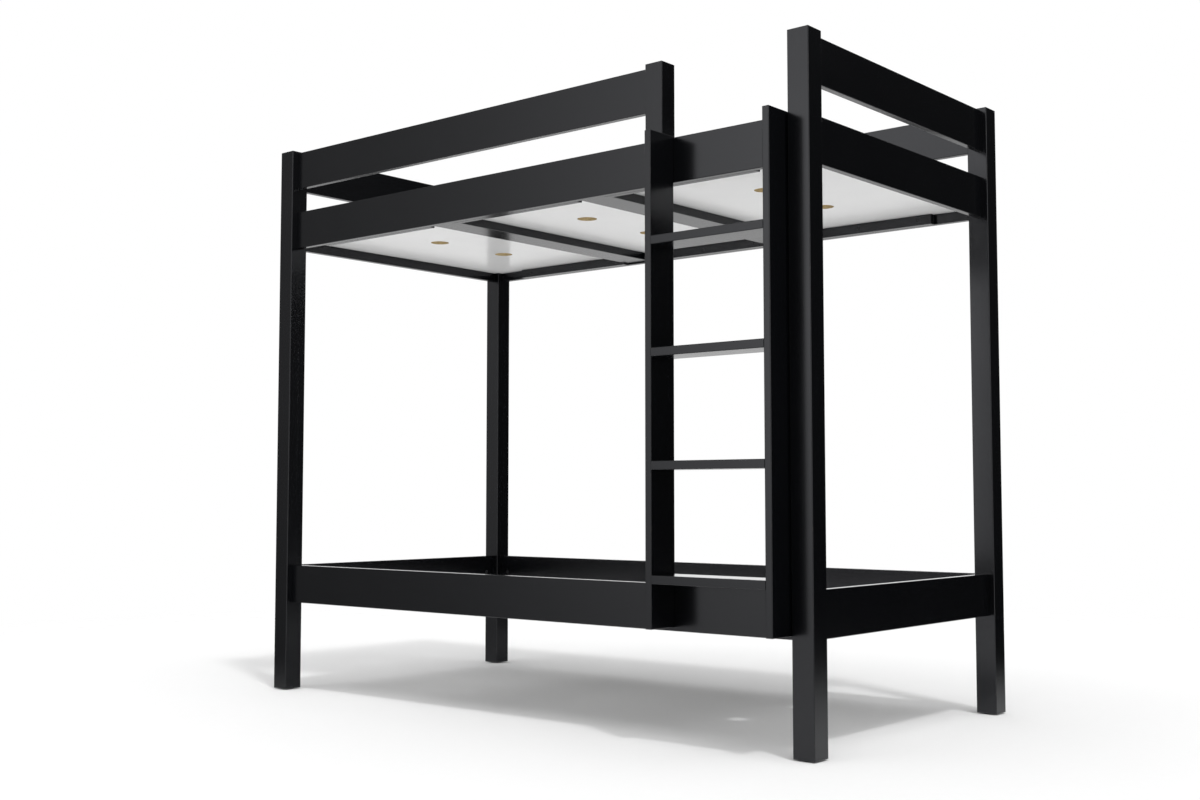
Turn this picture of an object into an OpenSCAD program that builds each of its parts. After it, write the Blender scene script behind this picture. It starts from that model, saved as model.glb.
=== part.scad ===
// Bunk bed with a fixed upright ladder at the right of the front side.
// The origin is on the floor, at the centre of the whole object's outline.
// X runs along the bed, Y from the ladder to the rear, Z up.

/* [Frame] */
// Length over the corner posts
bed_length = 2020; // [1900:10:2200]
// Width over the corner posts, without the ladder
bed_width = 1020; // [900:10:1400]
// Height of the post tops above the floor
bed_height = 1740; // [1738:1:1800]
// Side of a square corner post
post_size = 60; // [56:1:70]
// Rounding of the long edges of every bar
edge_round = 2; // [1:0.5:3]

/* [Rails] */
// Height of every rail board
rail_height = 118; // [110:1:122]
// Thickness of every rail board
rail_thick = 20; // [20:1:22]
// Underside of the lower rails above the floor
lower_rail_z = 277; // [250:1:290]
// Underside of the upper rails above the floor
upper_rail_z = 1420; // [1380:1:1425]
// Underside of the guard rails above the floor
guard_rail_z = 1616; // [1600:1:1620]

/* [Guard post] */
// Side of the square guard post beside the ladder
guard_post_size = 55; // [52:1:60]

/* [Ladder] */
// Width over the two stringers
ladder_width = 375; // [340:5:420]
// Depth of the stringers and the steps
ladder_depth = 97; // [85:1:110]
// Thickness of a stringer
stringer_thick = 19; // [18:1:24]
// Underside of the stringers above the floor
stringer_z = 287; // [280:1:300]
// Length of a stringer
stringer_length = 1254; // [1200:1:1280]
// Thickness of a step
step_thick = 22; // [20:1:26]
// Top of the lowest step above the floor
first_step_z = 421; // [410:1:430]
// Rise from one step to the next
step_rise = 283; // [270:1:290]
// Gap between a stringer and the post beside it
ladder_gap = 3; // [1:1:6]

/* [Bed base] */
// Width of a crossbar
crossbar_width = 97; // [80:1:110]
// Thickness of a crossbar
crossbar_thick = 25; // [20:1:25]
// Distance between the centres of the two crossbars
crossbar_pitch = 586; // [560:2:600]
// Thickness of a support cleat, out from the rail
cleat_thick = 20; // [18:1:22]
// Height of a support cleat
cleat_height = 30; // [30:1:36]
// Thickness of a base board
board_thick = 16; // [12:1:19]
// Gap round a base board
board_gap = 2; // [1:1:4]
// Diameter of a vent hole
vent_d = 60; // [40:1:80]
// Distance of the outer vent holes from the bed's middle, along the bed
vent_x = 641; // [600:1:680]
// Distance of the front row of vent holes from the bed's middle
vent_front_y = 144; // [100:1:200]
// Distance of the rear row of vent holes from the bed's middle
vent_rear_y = 158; // [100:1:200]

/* [Fixings] */
// Diameter of a wooden dowel's hole
dowel_hole_d = 8; // [6:1:8]
// Length of a wooden dowel between a rail and a post
dowel_length = 36; // [30:1:40]
// Distance of a rail's dowels above and below its middle
dowel_offset = 38; // [30:1:42]
// Diameter of a cam lock's recess
cam_d = 15; // [12:1:15]
// Distance of a cam lock's middle from the rail's end
cam_setback = 34; // [24:1:40]
// Diameter of a cleat screw
cleat_screw_d = 4; // [3:0.5:5]
// Diameter of a ladder screw
ladder_screw_d = 5; // [4:0.5:6]
// Diameter of a guard post bolt
guard_bolt_d = 8; // [6:1:8]
// Diameter of a foot glide
glide_d = 40; // [30:1:50]
// Thickness of a foot glide
glide_thick = 3; // [2:1:5]

/* [Hidden] */

// Colours
black = [0.10, 0.10, 0.11];
white = [0.90, 0.90, 0.89];
beech = [0.80, 0.66, 0.45];
zinc = [0.72, 0.73, 0.75];
black_zinc = [0.20, 0.20, 0.21];
dark_plastic = [0.15, 0.15, 0.15];

// Smoothness of round shapes and the small overlap of cutting tools
$fn = 48;
cut = 1;

// Free play between a fixing and its hole, on the radius
play = 0.1;

// Places of the frame
ladder_proud = ladder_depth - (post_size - rail_thick) / 2;
front_face_y = (ladder_proud - bed_width) / 2;
rear_face_y = front_face_y + bed_width;
bed_mid_y = (front_face_y + rear_face_y) / 2;
rail_front_y = front_face_y + post_size / 2;
long_rail = bed_length - 2 * post_size;
short_rail = bed_width - 2 * post_size;
rail_line_x = (bed_length - post_size) / 2;
rail_line_y = (bed_width - post_size) / 2;

// Places of the ladder and the guard post
ladder_right_x = bed_length / 2 - post_size - ladder_gap;
ladder_left_x = ladder_right_x - ladder_width;
ladder_back_y = rail_front_y - rail_thick / 2;
ladder_front_y = ladder_back_y - ladder_depth;
ladder_mid_y = (ladder_front_y + ladder_back_y) / 2;
guard_post_right_x = ladder_left_x - ladder_gap;
guard_post_left_x = guard_post_right_x - guard_post_size;
guard_post_mid_x = (guard_post_left_x + guard_post_right_x) / 2;
guard_front_length = guard_post_left_x + bed_length / 2 - post_size;
guard_front_x = guard_post_left_x - guard_front_length / 2;

// Places of the base, measured up from a rail's underside
crossbar_lift = cleat_height - crossbar_thick;
crossbar_length = bed_width - 2 * post_size + (post_size - rail_thick);
cleat_length = crossbar_pitch - crossbar_width;
board_top = cleat_height + board_thick;
saddle_gap = 4;
saddle_z = upper_rail_z + board_top + saddle_gap;
saddle_play = 0.25;

// Holes and fixings
dowel_play_length = 1;
cam_depth = 14;
cam_bolt_thread = 11;
cam_bolt_thread_d = 5;
cam_bolt_head_d = 7;
cam_lock_gap = 0.5;
cam_pocket_depth = 3;
cam_slot_length = 7;
cam_slot_width = 1.5;
cam_slot_depth = 2;
crossbar_dowel_offset = 30;
crossbar_dowel_in_rail = 12;
crossbar_dowel_in_bar = 25;
cleat_screw_pitch = 200;
cleat_screw_length = 32;
ladder_screw_length = 58;
ladder_screw_heights = [66, 98];
step_dowel_offset = 30;
step_dowel_in_stringer = 12;
step_dowel_in_step = 24;
guard_bolt_offset = 14;
guard_bolt_length = 43;
guard_bolt_head_d = 13;
guard_bolt_head_h = 5;
guard_bolt_head_play = 0.5;
glide_peg_length = 20;

// Every rail as [side, underside, centre along the side, length]
RAILS = [
    for (z = [lower_rail_z, upper_rail_z, guard_rail_z]) each [
        ["rear", z, 0, long_rail],
        ["left", z, 0, short_rail],
        ["right", z, 0, short_rail]
    ],
    ["front", lower_rail_z, 0, long_rail],
    ["front", upper_rail_z, 0, long_rail],
    ["front", guard_rail_z, guard_front_x, guard_front_length]
];

// ---- Shared shapes ----

// Rectangle with its corner at the origin and rounded corners
module rounded_rect(w, d) {
    translate([edge_round, 0]) square([w - 2 * edge_round, d]);
    translate([0, edge_round]) square([w, d - 2 * edge_round]);
    for (x = [edge_round, w - edge_round], y = [edge_round, d - edge_round])
        translate([x, y]) circle(edge_round);
}

// Bars with a corner at the origin and rounded long edges
module bar_x(size) {
    rotate([90, 0, 90]) linear_extrude(size.x) rounded_rect(size.y, size.z);
}

module bar_y(size) {
    translate([0, size.y, 0]) rotate([90, 0, 0]) linear_extrude(size.y) rounded_rect(size.x, size.z);
}

module bar_z(size) {
    linear_extrude(size.z) rounded_rect(size.x, size.y);
}

// Upright bar with rounded ends too
module upright(size) {
    intersection() {
        bar_x(size);
        bar_y(size);
        bar_z(size);
    }
}

// Cylinders along X and Y, starting at the origin
module rod_x(d, length) {
    rotate([0, 90, 0]) cylinder(d = d, h = length);
}

module rod_y(d, length) {
    rotate([-90, 0, 0]) cylinder(d = d, h = length);
}

// Cross slot for a screwdriver, cut into a face at y = 0 towards -Y
module cross_slot(length, width, depth) {
    for (turn = [0, 90]) rotate([0, turn, 0])
        translate([-length / 2, -depth, -width / 2]) cube([length, depth + cut, width]);
}

// A side of the bed: X runs along it, +Y points to the inside, the rail's centre line is at y = 0
module on_side(side) {
    translate([0, bed_mid_y, 0]) {
        if (side == "front") translate([0, -rail_line_y, 0]) children();
        if (side == "rear") translate([0, rail_line_y, 0]) rotate(180) children();
        if (side == "left") translate([-rail_line_x, 0, 0]) rotate(-90) children();
        if (side == "right") translate([rail_line_x, 0, 0]) rotate(90) children();
    }
}

// Both ends of a rail: the end face is at the origin and the rail runs towards +X
module at_rail_ends(length) {
    translate([-length / 2, 0, rail_height / 2]) children();
    translate([length / 2, 0, rail_height / 2]) mirror([1, 0, 0]) children();
}

// ---- Joint of a rail and a post, at the end face of the rail ----

module joint_dowel_places() {
    for (z = [-dowel_offset, dowel_offset]) translate([0, 0, z]) children();
}

// Holes in the rail: two dowel holes, the bolt's hole and the cam lock's recess
module joint_rail_holes() {
    hole = dowel_length / 2 + dowel_play_length;
    joint_dowel_places() translate([-cut, 0, 0]) rod_x(dowel_hole_d, hole + cut);
    translate([-cut, 0, 0]) rod_x(dowel_hole_d, cam_setback + cut);
    translate([cam_setback, rail_thick / 2 - cam_depth, 0]) rod_y(cam_d, cam_depth + cut);
}

// Holes in the post: two dowel holes and the bolt's threaded hole
module joint_post_holes() {
    hole = dowel_length / 2 + dowel_play_length;
    joint_dowel_places() translate([-hole, 0, 0]) rod_x(dowel_hole_d, hole + cut);
    translate([-cam_bolt_thread - dowel_play_length, 0, 0])
        rod_x(cam_bolt_thread_d + 2 * play, cam_bolt_thread + dowel_play_length + cut);
}

module joint_dowels() {
    joint_dowel_places() translate([-dowel_length / 2, 0, 0])
        rod_x(dowel_hole_d - 2 * play, dowel_length);
}

// Threaded end in the post, flange on its face, thin shank and a head inside the cam lock
module joint_cam_bolt() {
    head = 3;
    flange = 2;
    translate([-cam_bolt_thread, 0, 0]) rod_x(cam_bolt_thread_d, cam_setback + cam_bolt_thread);
    rod_x(cam_bolt_head_d, flange);
    translate([cam_setback - head, 0, 0]) rod_x(cam_bolt_head_d, head);
}

// Drum with a side pocket for the bolt's head and a cross slot for a screwdriver
module joint_cam_lock() {
    drum = cam_depth - cam_lock_gap;
    translate([cam_setback, rail_thick / 2 - cam_depth, 0]) difference() {
        rod_y(cam_d - 2 * play, drum);
        translate([-cam_d, cam_depth - rail_thick / 2, 0])
            rod_x(dowel_hole_d, cam_d + cam_pocket_depth);
        translate([0, drum, 0]) cross_slot(cam_slot_length, cam_slot_width, cam_slot_depth);
    }
}

// ---- Posts ----

// Front left corner post, with its outer corner at the origin
module corner_post(front_guard = true) {
    levels = [lower_rail_z, upper_rail_z, guard_rail_z];
    difference() {
        translate([0, 0, glide_thick]) upright([post_size, post_size, bed_height - glide_thick]);
        for (z = levels) translate([0, 0, z + rail_height / 2]) {
            if (z != guard_rail_z || front_guard)
                translate([post_size, post_size / 2, 0]) joint_post_holes();
            translate([post_size / 2, post_size, 0]) rotate(90) joint_post_holes();
        }
        translate([post_size / 2, post_size / 2, glide_thick - cut])
            cylinder(d = dowel_hole_d, h = glide_peg_length + dowel_play_length + cut);
    }
}

module at_corner(x_side, y_side) {
    translate([x_side * bed_length / 2, y_side < 0 ? front_face_y : rear_face_y, 0])
        mirror([x_side > 0 ? 1 : 0, 0, 0]) mirror([0, y_side > 0 ? 1 : 0, 0]) children();
}

module post_front_left() { color(black) at_corner(-1, -1) corner_post(); }
module post_front_right() { color(black) at_corner(1, -1) corner_post(front_guard = false); }
module post_rear_left() { color(black) at_corner(-1, 1) corner_post(); }
module post_rear_right() { color(black) at_corner(1, 1) corner_post(); }

// Places of the two bolts through the guard post and the upper front rail
module guard_bolt_places() {
    for (side = [-1, 1])
        translate([guard_post_mid_x + side * guard_bolt_offset, 0,
                   (saddle_z + upper_rail_z + rail_height) / 2]) children();
}

// Short post astride the upper front rail, with the joint of the front guard rail on its left face
module guard_post() {
    cheek_back_y = front_face_y + guard_post_size;
    bolt_tip_y = cheek_back_y - guard_bolt_head_h - guard_bolt_length;
    color(black) difference() {
        translate([guard_post_left_x, front_face_y, saddle_z])
            upright([guard_post_size, guard_post_size, bed_height - saddle_z]);
        translate([guard_post_left_x - cut, rail_front_y - rail_thick / 2 - saddle_play, saddle_z - cut])
            cube([guard_post_size + 2 * cut, rail_thick + 2 * saddle_play,
                  upper_rail_z + rail_height - saddle_z + cut]);
        translate([guard_post_left_x, rail_front_y, guard_rail_z + rail_height / 2])
            mirror([1, 0, 0]) joint_post_holes();
        guard_bolt_places() {
            translate([0, bolt_tip_y - dowel_play_length, 0])
                rod_y(guard_bolt_d + 2 * play, guard_bolt_length + 2 * guard_bolt_head_h);
            translate([0, cheek_back_y - guard_bolt_head_h - dowel_play_length, 0])
                rod_y(guard_bolt_head_d + 2 * guard_bolt_head_play, guard_bolt_head_h + 2 * cut);
        }
    }
}

// ---- Rails ----

// Board with the joints at both ends, its underside at z = 0
module rail_board(length) {
    difference() {
        translate([-length / 2, -rail_thick / 2, 0]) bar_x([length, rail_thick, rail_height]);
        at_rail_ends(length) joint_rail_holes();
    }
}

// Holes in a long rail for the crossbars' dowels and the cleats' screws
module base_holes() {
    for (bar = [-0.5, 0.5], side = [-1, 1])
        translate([bar * crossbar_pitch + side * crossbar_dowel_offset,
                   rail_thick / 2 - crossbar_dowel_in_rail - dowel_play_length,
                   crossbar_lift + crossbar_thick / 2])
            rod_y(dowel_hole_d, crossbar_dowel_in_rail + dowel_play_length + cut);
    cleat_screw_places() translate([0, cleat_thick - cleat_screw_length - dowel_play_length, 0])
        rod_y(cleat_screw_d + 2 * play, cleat_screw_length - cleat_thick + dowel_play_length + cut);
}

// Places of the cleat screws on a rail's inner face
module cleat_screw_places() {
    for (part = [-1, 0, 1], i = [-1, 0, 1])
        translate([part * crossbar_pitch + i * cleat_screw_pitch, rail_thick / 2, cleat_height / 2])
            children();
}

// Places of the ladder screws on a front rail's inner face
module ladder_screw_places() {
    for (x = [ladder_left_x + stringer_thick / 2, ladder_right_x - stringer_thick / 2])
        for (z = ladder_screw_heights) translate([x, rail_thick / 2, z]) children();
}

// Straight shank with a countersunk head, its head's face at y = 0 and its tip towards -Y
module screw(d, length) {
    slot_length = 1.1 * d;
    slot_width = 0.25 * d;
    slot_depth = 0.4 * d;
    difference() {
        rotate([90, 0, 0]) {
            cylinder(d = d, h = length);
            cylinder(d1 = 2 * d, d2 = d, h = d / 2);
        }
        cross_slot(slot_length, slot_width, slot_depth);
    }
}

// Space that a countersunk screw passes through, with its head's face at y = 0
module screw_hole(d, length) {
    rotate([90, 0, 0]) {
        translate([0, 0, -cut]) cylinder(d = d + 2 * play, h = length + cut);
        cylinder(d1 = 2 * d + 2 * play, d2 = d + 2 * play, h = d / 2);
        translate([0, 0, -cut]) cylinder(d = 2 * d + 2 * play, h = cut);
    }
}

module side_rail(side, z) {
    on_side(side) translate([0, 0, z])
        rail_board(side == "left" || side == "right" ? short_rail : long_rail);
}

module rear_bed_rail(z) {
    on_side("rear") translate([0, 0, z]) difference() {
        rail_board(long_rail);
        base_holes();
    }
}

module front_bed_rail(z) {
    on_side("front") translate([0, 0, z]) difference() {
        rail_board(long_rail);
        base_holes();
        ladder_screw_places() screw_hole(ladder_screw_d, rail_thick + cut);
    }
}

module lower_rail_front() { color(black) front_bed_rail(lower_rail_z); }
module lower_rail_rear() { color(black) rear_bed_rail(lower_rail_z); }
module lower_rail_left() { color(black) side_rail("left", lower_rail_z); }
module lower_rail_right() { color(black) side_rail("right", lower_rail_z); }

module upper_rail_front() {
    color(black) difference() {
        front_bed_rail(upper_rail_z);
        guard_bolt_places() translate([0, rail_front_y - rail_thick / 2 - cut, 0])
            rod_y(guard_bolt_d + 2 * play, rail_thick + 2 * cut);
    }
}

module upper_rail_rear() { color(black) rear_bed_rail(upper_rail_z); }
module upper_rail_left() { color(black) side_rail("left", upper_rail_z); }
module upper_rail_right() { color(black) side_rail("right", upper_rail_z); }

module guard_rail_front() {
    color(black) on_side("front") translate([guard_front_x, 0, guard_rail_z])
        rail_board(guard_front_length);
}

module guard_rail_rear() { color(black) side_rail("rear", guard_rail_z); }
module guard_rail_left() { color(black) side_rail("left", guard_rail_z); }
module guard_rail_right() { color(black) side_rail("right", guard_rail_z); }

// ---- Ladder ----

step_heights = [for (i = [0:3]) first_step_z + i * step_rise];

// Places of the dowels at a step's end, from the middle of that end
module step_dowel_places() {
    for (y = [-step_dowel_offset, step_dowel_offset]) translate([0, y, 0]) children();
}

// Left stringer, with its steps' holes on its right face
module stringer() {
    difference() {
        translate([0, ladder_front_y, stringer_z])
            upright([stringer_thick, ladder_depth, stringer_length]);
        for (top = step_heights)
            translate([stringer_thick - step_dowel_in_stringer - dowel_play_length, ladder_mid_y,
                       top - step_thick / 2])
                step_dowel_places()
                    rod_x(dowel_hole_d, step_dowel_in_stringer + dowel_play_length + cut);
        for (rail_z = [lower_rail_z, upper_rail_z], z = ladder_screw_heights)
            translate([stringer_thick / 2, ladder_back_y + rail_thick - ladder_screw_length - cut,
                       rail_z + z])
                rod_y(ladder_screw_d + 2 * play, ladder_screw_length - rail_thick + 2 * cut);
    }
}

module ladder_stringer_left() { color(black) translate([ladder_left_x, 0, 0]) stringer(); }

module ladder_stringer_right() {
    color(black) translate([ladder_right_x, 0, 0]) mirror([1, 0, 0]) stringer();
}

// Step number i, counted from the floor
module step(i) {
    length = ladder_width - 2 * stringer_thick;
    hole = step_dowel_in_step + dowel_play_length;
    translate([ladder_left_x + stringer_thick, 0, step_heights[i - 1] - step_thick]) difference() {
        translate([0, ladder_front_y, 0]) bar_x([length, ladder_depth, step_thick]);
        translate([0, ladder_mid_y, step_thick / 2]) step_dowel_places() {
            translate([-cut, 0, 0]) rod_x(dowel_hole_d, hole + cut);
            translate([length - hole, 0, 0]) rod_x(dowel_hole_d, hole + cut);
        }
    }
}

module ladder_step_1() { color(black) step(1); }
module ladder_step_2() { color(black) step(2); }
module ladder_step_3() { color(black) step(3); }
module ladder_step_4() { color(black) step(4); }

// ---- Bed bases ----

// Flat bar from the front rail to the rear rail, with two dowels at each end
module crossbar(x_side, z) {
    hole = crossbar_dowel_in_bar + dowel_play_length;
    translate([x_side * crossbar_pitch / 2, bed_mid_y, z + crossbar_lift]) difference() {
        translate([-crossbar_width / 2, -crossbar_length / 2, 0])
            bar_y([crossbar_width, crossbar_length, crossbar_thick]);
        for (x = [-crossbar_dowel_offset, crossbar_dowel_offset], end = [0, 180]) rotate(end)
            translate([x, -crossbar_length / 2 - cut, crossbar_thick / 2])
                rod_y(dowel_hole_d, hole + cut);
    }
}

module lower_crossbar_left() { color(black) crossbar(-1, lower_rail_z); }
module lower_crossbar_right() { color(black) crossbar(1, lower_rail_z); }
module upper_crossbar_left() { color(black) crossbar(-1, upper_rail_z); }
module upper_crossbar_right() { color(black) crossbar(1, upper_rail_z); }

// Cleat on the inner face of a long rail, part -1 at the left, 0 in the middle, 1 at the right
module cleat(side, part, z) {
    along = side == "rear" ? -part : part;
    on_side(side) translate([along * crossbar_pitch, rail_thick / 2, z]) difference() {
        translate([-cleat_length / 2, 0, 0]) bar_x([cleat_length, cleat_thick, cleat_height]);
        for (i = [-1, 0, 1]) translate([i * cleat_screw_pitch, cleat_thick, cleat_height / 2])
            screw_hole(cleat_screw_d, cleat_thick + cut);
    }
}

module lower_cleat_front_left() { color(black) cleat("front", -1, lower_rail_z); }
module lower_cleat_front_middle() { color(black) cleat("front", 0, lower_rail_z); }
module lower_cleat_front_right() { color(black) cleat("front", 1, lower_rail_z); }
module lower_cleat_rear_left() { color(black) cleat("rear", -1, lower_rail_z); }
module lower_cleat_rear_middle() { color(black) cleat("rear", 0, lower_rail_z); }
module lower_cleat_rear_right() { color(black) cleat("rear", 1, lower_rail_z); }
module upper_cleat_front_left() { color(black) cleat("front", -1, upper_rail_z); }
module upper_cleat_front_middle() { color(black) cleat("front", 0, upper_rail_z); }
module upper_cleat_front_right() { color(black) cleat("front", 1, upper_rail_z); }
module upper_cleat_rear_left() { color(black) cleat("rear", -1, upper_rail_z); }
module upper_cleat_rear_middle() { color(black) cleat("rear", 0, upper_rail_z); }
module upper_cleat_rear_right() { color(black) cleat("rear", 1, upper_rail_z); }

// Board on the cleats; its joint with the next board is over a crossbar's middle
module board(part, z) {
    inner = crossbar_pitch / 2 - board_gap / 2;
    outer = rail_line_x - rail_thick / 2 - board_gap;
    width = crossbar_length - 2 * board_gap;
    notch = (post_size - rail_thick) / 2 + board_gap;
    x_low = part < 0 ? -outer : part > 0 ? inner + board_gap : -inner;
    x_high = part < 0 ? -inner - board_gap : part > 0 ? outer : inner;
    translate([0, bed_mid_y, z + cleat_height]) difference() {
        translate([x_low, -width / 2, 0]) cube([x_high - x_low, width, board_thick]);
        for (y = [-vent_front_y, vent_rear_y]) translate([part * vent_x, y, -cut])
            cylinder(d = vent_d, h = board_thick + 2 * cut);
        for (y = [-1, 1], x = [-1, 1])
            translate([x * (bed_length / 2 - post_size - board_gap + notch),
                       y * (bed_width / 2 - post_size - board_gap + notch), board_thick / 2])
                cube([2 * notch, 2 * notch, 2 * board_thick], center = true);
    }
}

module lower_board_left() { color(white) board(-1, lower_rail_z); }
module lower_board_middle() { color(white) board(0, lower_rail_z); }
module lower_board_right() { color(white) board(1, lower_rail_z); }
module upper_board_left() { color(white) board(-1, upper_rail_z); }
module upper_board_middle() { color(white) board(0, upper_rail_z); }
module upper_board_right() { color(white) board(1, upper_rail_z); }

// ---- Fixings ----

module at_every_rail_end() {
    for (rail = RAILS)
        on_side(rail[0]) translate([rail[2], 0, rail[1]]) at_rail_ends(rail[3]) children();
}

module rail_dowels() { color(beech) at_every_rail_end() joint_dowels(); }
module cam_bolts() { color(zinc) at_every_rail_end() joint_cam_bolt(); }
module cam_locks() { color(black_zinc) at_every_rail_end() joint_cam_lock(); }

module crossbar_dowels() {
    length = crossbar_dowel_in_bar + crossbar_dowel_in_rail;
    color(beech) for (z = [lower_rail_z, upper_rail_z], side = ["front", "rear"]) on_side(side)
        for (bar = [-0.5, 0.5], x = [-crossbar_dowel_offset, crossbar_dowel_offset])
            translate([bar * crossbar_pitch + x, rail_thick / 2 - crossbar_dowel_in_rail,
                       z + crossbar_lift + crossbar_thick / 2])
                rod_y(dowel_hole_d - 2 * play, length);
}

module step_dowels() {
    length = step_dowel_in_stringer + step_dowel_in_step;
    ends = [ladder_left_x + stringer_thick - step_dowel_in_stringer,
            ladder_right_x - stringer_thick - step_dowel_in_step];
    color(beech) for (top = step_heights, x = ends)
        translate([x, ladder_mid_y, top - step_thick / 2])
            step_dowel_places() rod_x(dowel_hole_d - 2 * play, length);
}

module cleat_screws() {
    color(black_zinc) for (z = [lower_rail_z, upper_rail_z], side = ["front", "rear"]) on_side(side)
        translate([0, cleat_thick, z]) cleat_screw_places() screw(cleat_screw_d, cleat_screw_length);
}

module ladder_screws() {
    color(black_zinc) for (z = [lower_rail_z, upper_rail_z]) on_side("front")
        translate([0, 0, z]) ladder_screw_places() screw(ladder_screw_d, ladder_screw_length);
}

// Bolts from the inner cheek through the rail into the outer cheek
module guard_post_bolts() {
    hex_key_d = 5.8;
    hex_key_depth = 3;
    head_y = front_face_y + guard_post_size - guard_bolt_head_h;
    color(black_zinc) guard_bolt_places() translate([0, head_y, 0]) difference() {
        union() {
            translate([0, -guard_bolt_length, 0]) rod_y(guard_bolt_d, guard_bolt_length);
            rod_y(guard_bolt_head_d, guard_bolt_head_h);
        }
        translate([0, guard_bolt_head_h - hex_key_depth, 0]) rotate([-90, 0, 0])
            cylinder(d = hex_key_d, h = hex_key_depth + cut, $fn = 6);
    }
}

// Discs under the posts, each with a peg up into its post
module foot_glides() {
    color(dark_plastic) for (x = [-1, 1], y = [-1, 1]) at_corner(x, y)
        translate([post_size / 2, post_size / 2, 0]) {
            cylinder(d = glide_d, h = glide_thick);
            cylinder(d = dowel_hole_d - 2 * play, h = glide_thick + glide_peg_length);
        }
}

post_front_left();
post_front_right();
post_rear_left();
post_rear_right();
guard_post();
lower_rail_front();
lower_rail_rear();
lower_rail_left();
lower_rail_right();
upper_rail_front();
upper_rail_rear();
upper_rail_left();
upper_rail_right();
guard_rail_front();
guard_rail_rear();
guard_rail_left();
guard_rail_right();
ladder_stringer_left();
ladder_stringer_right();
ladder_step_1();
ladder_step_2();
ladder_step_3();
ladder_step_4();
lower_crossbar_left();
lower_crossbar_right();
upper_crossbar_left();
upper_crossbar_right();
lower_cleat_front_left();
lower_cleat_front_middle();
lower_cleat_front_right();
lower_cleat_rear_left();
lower_cleat_rear_middle();
lower_cleat_rear_right();
upper_cleat_front_left();
upper_cleat_front_middle();
upper_cleat_front_right();
upper_cleat_rear_left();
upper_cleat_rear_middle();
upper_cleat_rear_right();
lower_board_left();
lower_board_middle();
lower_board_right();
upper_board_left();
upper_board_middle();
upper_board_right();
rail_dowels();
crossbar_dowels();
step_dowels();
cam_bolts();
cam_locks();
cleat_screws();
ladder_screws();
guard_post_bolts();
foot_glides();
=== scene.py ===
"""Looks, stage, light and camera of the bunk bed with its ladder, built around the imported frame."""
import math

import bpy
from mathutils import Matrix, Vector


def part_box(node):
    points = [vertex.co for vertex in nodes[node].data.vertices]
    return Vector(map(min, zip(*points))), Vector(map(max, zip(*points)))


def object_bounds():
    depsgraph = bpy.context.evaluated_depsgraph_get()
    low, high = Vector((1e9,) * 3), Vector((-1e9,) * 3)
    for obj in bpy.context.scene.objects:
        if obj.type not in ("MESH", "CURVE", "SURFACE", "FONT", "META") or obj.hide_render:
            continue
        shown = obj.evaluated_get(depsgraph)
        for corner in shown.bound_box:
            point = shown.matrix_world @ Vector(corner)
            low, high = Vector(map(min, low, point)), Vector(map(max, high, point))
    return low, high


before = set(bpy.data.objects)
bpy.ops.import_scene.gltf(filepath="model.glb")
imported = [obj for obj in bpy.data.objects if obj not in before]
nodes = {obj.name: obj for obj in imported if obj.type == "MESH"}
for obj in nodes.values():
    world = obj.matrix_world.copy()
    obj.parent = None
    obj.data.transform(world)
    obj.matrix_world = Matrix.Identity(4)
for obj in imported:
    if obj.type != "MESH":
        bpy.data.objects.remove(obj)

cad_lo, cad_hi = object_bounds()
centre = Vector(((cad_lo.x + cad_hi.x) / 2, (cad_lo.y + cad_hi.y) / 2, 0))

# Camera: its place from the middle of the bed's outline on the floor, in metres, and where it looks
CAMERA_OFFSET = Vector((2.819, -3.380, 0.619))
CAMERA_AZIMUTH = math.radians(40.21)
CAMERA_TILT = math.radians(3.76)
LENS_MM = 43.43
SENSOR_MM = 36

# Floor, which fades out round a point near the bed, in metres
FLOOR_HALF = 30.0      # half the side of its square
FLOOR_MIDDLE = Vector((0.38, -0.12, 0))
FLOOR_SOLID = 2.6      # the camera sees the floor whole up to this distance from the middle
FLOOR_GONE = 4.4       # and faded into the white surround beyond this one
GLOW_SOLID = 0.4       # the same two distances for reflections and bounced light
GLOW_GONE = 2.35
FLOOR_COLOURS = (0.84, 0.84, 0.84, 1), (0.86, 0.86, 0.86, 1)

# Key light
KEY_TOWARDS = Vector((0.903, -0.430, 0))  # the side that it comes from
KEY_ELEVATION = math.radians(62.4)
KEY_SPREAD = math.radians(5)
KEY_STRENGTH = 0.85

# Radiance of the studio's walls by azimuth, in degrees from +X towards +Y
WALLS = [
    (-180, 1.2), (-160, 0.2), (-143, 0.22), (-137, 0.31), (-131, 0.87), (-122, 1.92), (-106, 1.95),
    (-88, 0.6), (-70, 0.3), (-50, 0.5), (-30, 2.0), (5, 2.0), (22, 0.3), (36, 0.13), (46, 0.03), (80, 0.02),
    (98, 0.4), (112, 1.6), (146, 1.75), (160, 1.2), (180, 1.2),
]
WALLS_PEAK = 2.5       # what the colour ramp's white stands for

# Radiance of the rest of the studio. Each span is where it takes over, as sines of elevation.
WALL_FOOT = 0.39       # share that is left of the walls below the horizon
WALL_FOOT_SPAN = (-0.20, 0.15)
SHADE = 0.35           # between the walls and the ceiling
SHADE_SPAN = (0.32, 0.40)
CEILING = 1.70
CEILING_SPAN = (0.68, 0.84)
LEAN = Vector((0.4, -0.7, 0))  # shade and ceiling grow towards the front right
CELLAR = 1.06          # below the floor's edge
CELLAR_SPAN = (-0.25, -0.45)

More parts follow.
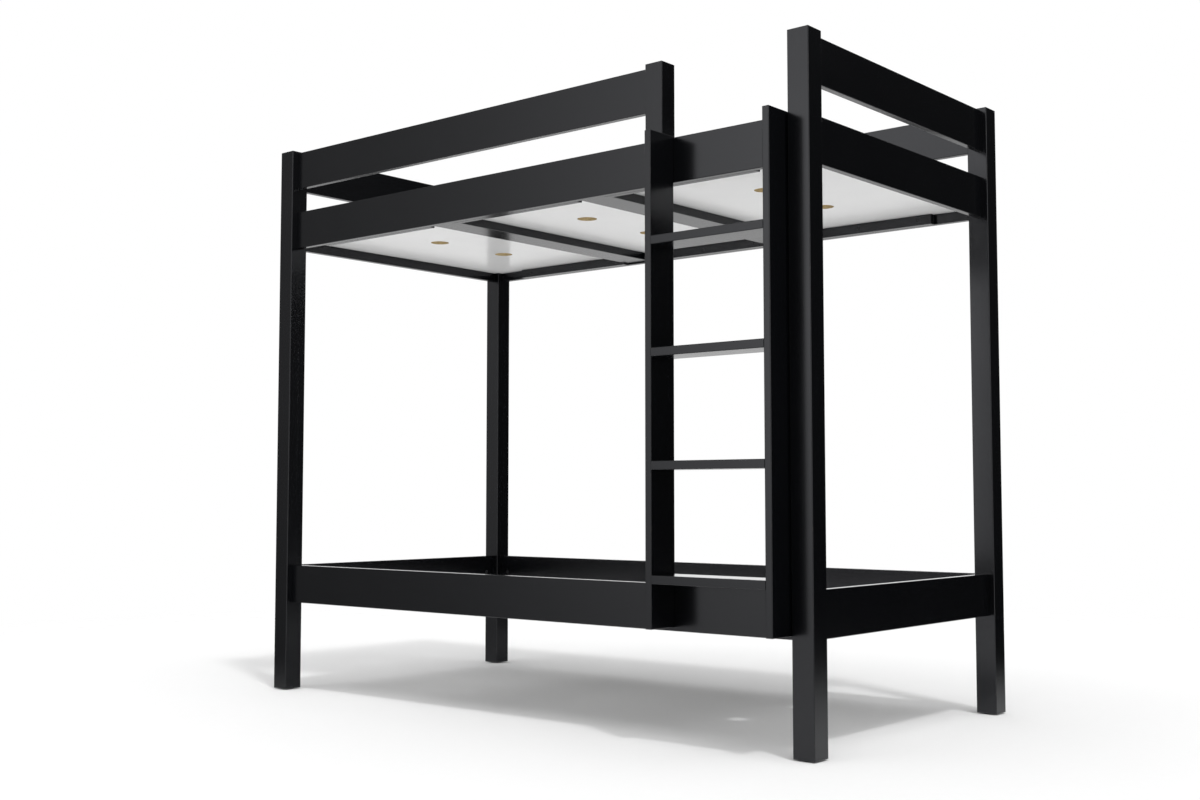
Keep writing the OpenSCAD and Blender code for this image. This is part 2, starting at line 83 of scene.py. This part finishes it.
# Lacquer. Here and below, scales are features in a metre, colours are linear, depths are metres.
GRAIN_ALONG = 1.2
GRAIN_ACROSS = 70.0
PORES_FINER = 9        # pores in the width of one grain feature
PORE_RELIEF = 0.25     # height of the pores beside the grain's
GRAIN_DEPTH = 0.00005
LACQUER_CLOUDS = 5.0
LACQUER_IOR = 1.5
LACQUER_TINT = (0.94, 0.95, 1.0, 1)
LACQUER_COLOURS = (0.0009, 0.0011, 0.0016, 1), (0.0013, 0.0015, 0.0021, 1)
LACQUER_ROUGHNESS = 0.15
# Rounded edges: a lighter brownish colour that is partly real wear and partly painted highlight where the
# rounding catches light
WORN_AND_HIGHLIGHT_COLOUR = (0.020, 0.017, 0.014, 1)
WEAR_AND_HIGHLIGHT_SCALE = 60.0
WEAR_AND_HIGHLIGHT_SPAN = (0.52, 0.75)   # noise values from none to full worn colour and painted highlight

# How squarely a normal faces an axis, from 0 to 1
EDGE_SPAN = (0.99, 0.85)   # from a flat face to a rounded edge
END_SPAN = (0.9, 0.98)     # from a bar's sides to its sawn ends
CUT_SPAN = (0.8, 0.6)      # from a board's faces to its cut edges

# Base boards
WHITE_COLOURS = (0.91, 0.91, 0.91, 1), (0.935, 0.935, 0.93, 1)
WHITE_ROUGHNESS = 0.17
WHITE_CLOUDS = 6.0
PEARL_SCALE = 900.0
CHIP_COLOURS = (0.24, 0.17, 0.075, 1), (0.52, 0.40, 0.20, 1)
CHIP_SCALE = 420.0
CHIP_STRETCH = (1, 1, 2)   # chips lie flat in the board
BOARD_DEPTH = 0.00004

# Fixings
BEECH_COLOURS = (0.50, 0.33, 0.17, 1), (0.68, 0.50, 0.30, 1)
BEECH_TONES = 90.0
BEECH_FLECKS = 700.0
FLECK_DEPTH = 0.0002
ZINC_COLOURS = (0.48, 0.49, 0.51, 1), (0.70, 0.70, 0.72, 1)
BLACK_ZINC_COLOURS = (0.006, 0.006, 0.007, 1), (0.014, 0.014, 0.016, 1)
PASSIVATION_SCALE = 160.0
BRUSHING_SCALE = 2500.0
BRUSHING_DEPTH = 0.00002
PLASTIC_COLOURS = (0.018, 0.018, 0.018, 1), (0.030, 0.030, 0.030, 1)
SPARK_SCALE = 1800.0
SPARK_DEPTH = 0.00005


# ---- Short calls for building node trees ----

def add(tree, kind, inputs=(), **settings):
    """A new node with its settings and its inputs: a socket is linked, anything else is a plain value."""
    made = tree.nodes.new(kind)
    for name, value in settings.items():
        setattr(made, name, value)
    for name, value in dict(inputs).items():
        if isinstance(value, bpy.types.NodeSocket):
            tree.links.new(value, made.inputs[name])
        else:
            made.inputs[name].default_value = value
    return made


def maths(tree, operation, *values):
    return add(tree, "ShaderNodeMath", enumerate(values), operation=operation).outputs[0]


def layered(tree, base, *layers):
    """base plus a share of each layer, given as (layer, share)."""
    for layer, share in layers:
        base = maths(tree, "MULTIPLY_ADD", layer, share, base)
    return base


def ramp(tree, value, low, high, to_low=0.0, to_high=1.0):
    """value from low..high to to_low..to_high, smooth at both ends."""
    inputs = {"Value": value, "From Min": low, "From Max": high, "To Min": to_low, "To Max": to_high}
    return add(tree, "ShaderNodeMapRange", inputs, interpolation_type="SMOOTHSTEP").outputs["Result"]


def mix_colour(tree, factor, a, b):
    made = add(tree, "ShaderNodeMix", data_type="RGBA")
    for socket, value in ((made.inputs[0], factor), (made.inputs[6], a), (made.inputs[7], b)):
        if isinstance(value, bpy.types.NodeSocket):
            tree.links.new(value, socket)
        else:
            socket.default_value = value
    return made.outputs[2]


def noise(tree, coords, scale=1.0, detail=3.0, roughness=0.55):
    inputs = {"Vector": coords, "Scale": scale, "Detail": detail, "Roughness": roughness}
    return add(tree, "ShaderNodeTexNoise", inputs).outputs["Fac"]


def stretched(tree, coords, scale):
    return add(tree, "ShaderNodeMapping", {"Vector": coords, "Scale": scale}).outputs["Vector"]


def new_material(name):
    """A material with only its output and its Principled shader, and the row frame's coordinates."""
    material = bpy.data.materials.new(name)
    material.use_nodes = True
    tree = material.node_tree
    tree.nodes.clear()
    shader = add(tree, "ShaderNodeBsdfPrincipled")
    output = add(tree, "ShaderNodeOutputMaterial")
    tree.links.new(shader.outputs[0], output.inputs[0])
    coords = add(tree, "ShaderNodeTexCoord").outputs["Object"]
    return material, tree, shader, coords


def connect(tree, shader, **sockets):
    for name, socket in sockets.items():
        tree.links.new(socket, shader.inputs[name.replace("_", " ")])


def bump(tree, height, depth):
    return add(tree, "ShaderNodeBump", {"Height": height, "Distance": depth}).outputs["Normal"]


def squareness(tree, normal):
    """How squarely a normal, named as Geometry names it, faces each axis of the row frame, from 0 to 1."""
    geometry = add(tree, "ShaderNodeNewGeometry").outputs[normal]
    parts = add(tree, "ShaderNodeSeparateXYZ", {0: geometry}).outputs
    return [maths(tree, "ABSOLUTE", part) for part in parts]


def edge_mask(tree):
    """1 on the rounded edges, 0 on the flat faces, which all face along an axis."""
    x, y, z = squareness(tree, "Normal")
    most = maths(tree, "MAXIMUM", maths(tree, "MAXIMUM", x, y), z)
    return ramp(tree, most, *EDGE_SPAN)


# ---- Materials ----

def lacquer(axis):
    """Black satin lacquer over wood whose grain runs along that axis."""
    material, tree, shader, coords = new_material("lacquer_" + "xyz"[axis])
    scale = [GRAIN_ACROSS] * 3
    scale[axis] = GRAIN_ALONG
    grain = noise(tree, stretched(tree, coords, scale), detail=5.0, roughness=0.6)
    pores = noise(tree, stretched(tree, coords, [s * PORES_FINER for s in scale]), detail=2.0)
    cloud = noise(tree, coords, LACQUER_CLOUDS)
    end = ramp(tree, squareness(tree, "True Normal")[axis], *END_SPAN)
    edge = edge_mask(tree)
    edge_wear_and_highlight = ramp(tree, noise(tree, coords, WEAR_AND_HIGHLIGHT_SCALE, detail=4.0), *WEAR_AND_HIGHLIGHT_SPAN)
    # Painted highlight and wear: the rounded edges are lightened towards a brownish colour in noisy patches
    colour = mix_colour(tree, maths(tree, "MULTIPLY", edge, edge_wear_and_highlight),
                        mix_colour(tree, cloud, *LACQUER_COLOURS), WORN_AND_HIGHLIGHT_COLOUR)
    rough = layered(tree, LACQUER_ROUGHNESS, (cloud, 0.05), (pores, 0.05), (end, 0.15), (edge, 0.05))
    relief = layered(tree, grain, (pores, PORE_RELIEF))
    shader.inputs["IOR"].default_value = LACQUER_IOR
    shader.inputs["Specular Tint"].default_value = LACQUER_TINT
    connect(tree, shader, Base_Color=colour, Roughness=rough, Normal=bump(tree, relief, GRAIN_DEPTH))
    return material


def white_board():
    """White melamine on both faces, bare chipboard on every cut edge."""
    material, tree, shader, coords = new_material("white_melamine")
    cut = ramp(tree, squareness(tree, "True Normal")[2], *CUT_SPAN)
    pearl = noise(tree, coords, PEARL_SCALE, detail=2.0)
    cloud = noise(tree, coords, WHITE_CLOUDS)
    flat = stretched(tree, coords, CHIP_STRETCH)
    chips = add(tree, "ShaderNodeTexVoronoi", {"Vector": flat, "Scale": CHIP_SCALE})
    tone = add(tree, "ShaderNodeSeparateColor", {0: chips.outputs["Color"]}).outputs[0]
    white = mix_colour(tree, cloud, *WHITE_COLOURS)
    wood = mix_colour(tree, tone, *CHIP_COLOURS)
    rough = layered(tree, WHITE_ROUGHNESS, (cloud, 0.06), (cut, 0.6))
    height = mix_colour(tree, cut, pearl, chips.outputs["Distance"])
    connect(tree, shader, Base_Color=mix_colour(tree, cut, white, wood), Roughness=rough,
            Normal=bump(tree, height, BOARD_DEPTH))
    return material


def beech():
    """Bare turned beech with its short flecks, along no particular axis because the dowels lie both ways."""
    material, tree, shader, coords = new_material("beech")
    fleck = noise(tree, coords, BEECH_FLECKS)
    colour = mix_colour(tree, noise(tree, coords, BEECH_TONES, detail=4.0), *BEECH_COLOURS)
    connect(tree, shader, Base_Color=colour, Roughness=ramp(tree, fleck, 0, 1, 0.5, 0.75),
            Normal=bump(tree, fleck, FLECK_DEPTH))
    return material


def plating(name, colours, smooth, rough, metallic):
    """Satin plating with fine brushing and cloudy passivation."""
    material, tree, shader, coords = new_material(name)
    cloud = noise(tree, coords, PASSIVATION_SCALE, detail=4.0)
    brushing = noise(tree, coords, BRUSHING_SCALE, detail=2.0)
    shader.inputs["Metallic"].default_value = metallic
    connect(tree, shader, Base_Color=mix_colour(tree, cloud, *colours),
            Roughness=ramp(tree, cloud, 0.2, 0.8, smooth, rough),
            Normal=bump(tree, brushing, BRUSHING_DEPTH))
    return material


def glide_plastic():
    """Moulded polyethylene with a fine spark texture."""
    material, tree, shader, coords = new_material("glide_plastic")
    spark = noise(tree, coords, SPARK_SCALE)
    connect(tree, shader, Base_Color=mix_colour(tree, spark, *PLASTIC_COLOURS),
            Roughness=ramp(tree, spark, 0, 1, 0.45, 0.65), Normal=bump(tree, spark, SPARK_DEPTH))
    return material


def long_axis(node):
    """The axis that a bar is longest along, which its grain follows."""
    lo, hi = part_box(node)
    size = hi - lo
    return max(range(3), key=lambda i: size[i])


def dress(node):
    """The finish of a CAD node, by the material slot that the CAD gave it."""
    slot = nodes[node].data.materials[0].name
    return LACQUERS[long_axis(node)] if slot == "black_lacquer" else FINISHES[slot]


LACQUERS = [lacquer(axis) for axis in range(3)]
FINISHES = {
    "white_board": white_board(),
    "beech_dowel": beech(),
    "zinc_fitting": plating("zinc", ZINC_COLOURS, smooth=0.28, rough=0.45, metallic=1.0),
    "black_fitting": plating("black_zinc", BLACK_ZINC_COLOURS, smooth=0.30, rough=0.42, metallic=0.0),
    "black_plastic": glide_plastic(),
}
for name, ob in nodes.items():
    finish = dress(name)
    ob.material_slots[0].link = "OBJECT"
    ob.material_slots[0].material = finish


# ---- Stage ----

def floor_material():
    """Pale studio floor, whole near the bed, fading into the white surround, and unseen from below."""
    material, tree, shader, coords = new_material("floor")
    colour = mix_colour(tree, noise(tree, coords, 40.0, detail=4.0), *FLOOR_COLOURS)
    shader.inputs["Roughness"].default_value = 0.9
    shader.inputs["Specular IOR Level"].default_value = 0.0
    reach = add(tree, "ShaderNodeVectorMath", {0: coords, 1: FLOOR_MIDDLE}, operation="DISTANCE")
    reach = reach.outputs["Value"]
    seen = add(tree, "ShaderNodeLightPath").outputs["Is Camera Ray"]
    solid = layered(tree, GLOW_SOLID, (seen, FLOOR_SOLID - GLOW_SOLID))
    gone = layered(tree, GLOW_GONE, (seen, FLOOR_GONE - GLOW_GONE))
    below = add(tree, "ShaderNodeNewGeometry").outputs["Backfacing"]
    alpha = maths(tree, "SUBTRACT", ramp(tree, reach, solid, gone, 1.0, 0.0), below)
    alpha = maths(tree, "MAXIMUM", alpha, 0.0)
    connect(tree, shader, Base_Color=colour, Alpha=alpha)
    return material


def floor():
    mesh = bpy.data.meshes.new("floor")
    corners = [Vector((x, y, 0)) * FLOOR_HALF for x, y in ((-1, -1), (1, -1), (1, 1), (-1, 1))]
    mesh.from_pydata(corners, [], [(0, 1, 2, 3)])
    ob = bpy.data.objects.new("floor", mesh)
    ob.location = centre
    mesh.materials.append(floor_material())
    bpy.context.scene.collection.objects.link(ob)


def wall_light(tree, azimuth):
    """Radiance of the walls round the horizon."""
    share = maths(tree, "MULTIPLY_ADD", azimuth, 1 / math.tau, 0.5)
    panels = add(tree, "ShaderNodeValToRGB", {0: share})
    panels.color_ramp.interpolation = "LINEAR"
    while len(panels.color_ramp.elements) < len(WALLS):
        panels.color_ramp.elements.new(0.5)
    for stop, (angle, radiance) in zip(panels.color_ramp.elements, WALLS):
        stop.position = (angle + 180) / 360
        stop.color = [radiance / WALLS_PEAK] * 3 + [1]
    return maths(tree, "MULTIPLY", panels.outputs[0], WALLS_PEAK)


def studio():
    """White surround to the camera; to everything else walls of soft panels and dark gaps."""
    world = bpy.data.worlds.new("studio")
    bpy.context.scene.world = world
    world.use_nodes = True
    tree = world.node_tree
    tree.nodes.clear()
    direction = add(tree, "ShaderNodeTexCoord").outputs["Generated"]
    x, y, height = add(tree, "ShaderNodeSeparateXYZ", {0: direction}).outputs
    foot = ramp(tree, height, *WALL_FOOT_SPAN, WALL_FOOT, 1.0)
    radiance = maths(tree, "MULTIPLY", wall_light(tree, maths(tree, "ARCTAN2", y, x)), foot)
    lean = add(tree, "ShaderNodeVectorMath", {0: direction, 1: LEAN}, operation="DOT_PRODUCT")
    lean = maths(tree, "ADD", lean.outputs["Value"], 1.0)
    shade = maths(tree, "MULTIPLY", lean, SHADE)
    ceiling = maths(tree, "MULTIPLY", lean, CEILING)
    for span, level in ((SHADE_SPAN, shade), (CEILING_SPAN, ceiling), (CELLAR_SPAN, CELLAR)):
        part = ramp(tree, height, *span)
        radiance = add(tree, "ShaderNodeMix", {0: part, 2: radiance, 3: level}, data_type="FLOAT").outputs[0]
    light = add(tree, "ShaderNodeBackground", {"Color": (1, 1, 1, 1), "Strength": radiance})
    white = add(tree, "ShaderNodeBackground", {"Color": (1, 1, 1, 1), "Strength": 1.0})
    seen = add(tree, "ShaderNodeLightPath").outputs["Is Camera Ray"]
    both = add(tree, "ShaderNodeMixShader", {0: seen, 1: light.outputs[0], 2: white.outputs[0]})
    add(tree, "ShaderNodeOutputWorld", {0: both.outputs[0]})


def key_light():
    data = bpy.data.lights.new("key", "SUN")
    data.angle = KEY_SPREAD
    data.energy = KEY_STRENGTH
    ob = bpy.data.objects.new("key", data)
    towards = KEY_TOWARDS.normalized() * math.cos(KEY_ELEVATION) + Vector((0, 0, math.sin(KEY_ELEVATION)))
    ob.rotation_euler = towards.to_track_quat("Z", "Y").to_euler()
    bpy.context.scene.collection.objects.link(ob)


def camera():
    data = bpy.data.cameras.new("camera")
    data.lens = LENS_MM
    data.sensor_width = SENSOR_MM
    ob = bpy.data.objects.new("camera", data)
    ob.location = centre + CAMERA_OFFSET
    ob.rotation_euler = (math.pi / 2 + CAMERA_TILT, 0, CAMERA_AZIMUTH)
    bpy.context.scene.collection.objects.link(ob)
    bpy.context.scene.camera = ob


floor()
studio()
key_light()
camera()
bpy.context.scene.view_settings.view_transform = "Standard"
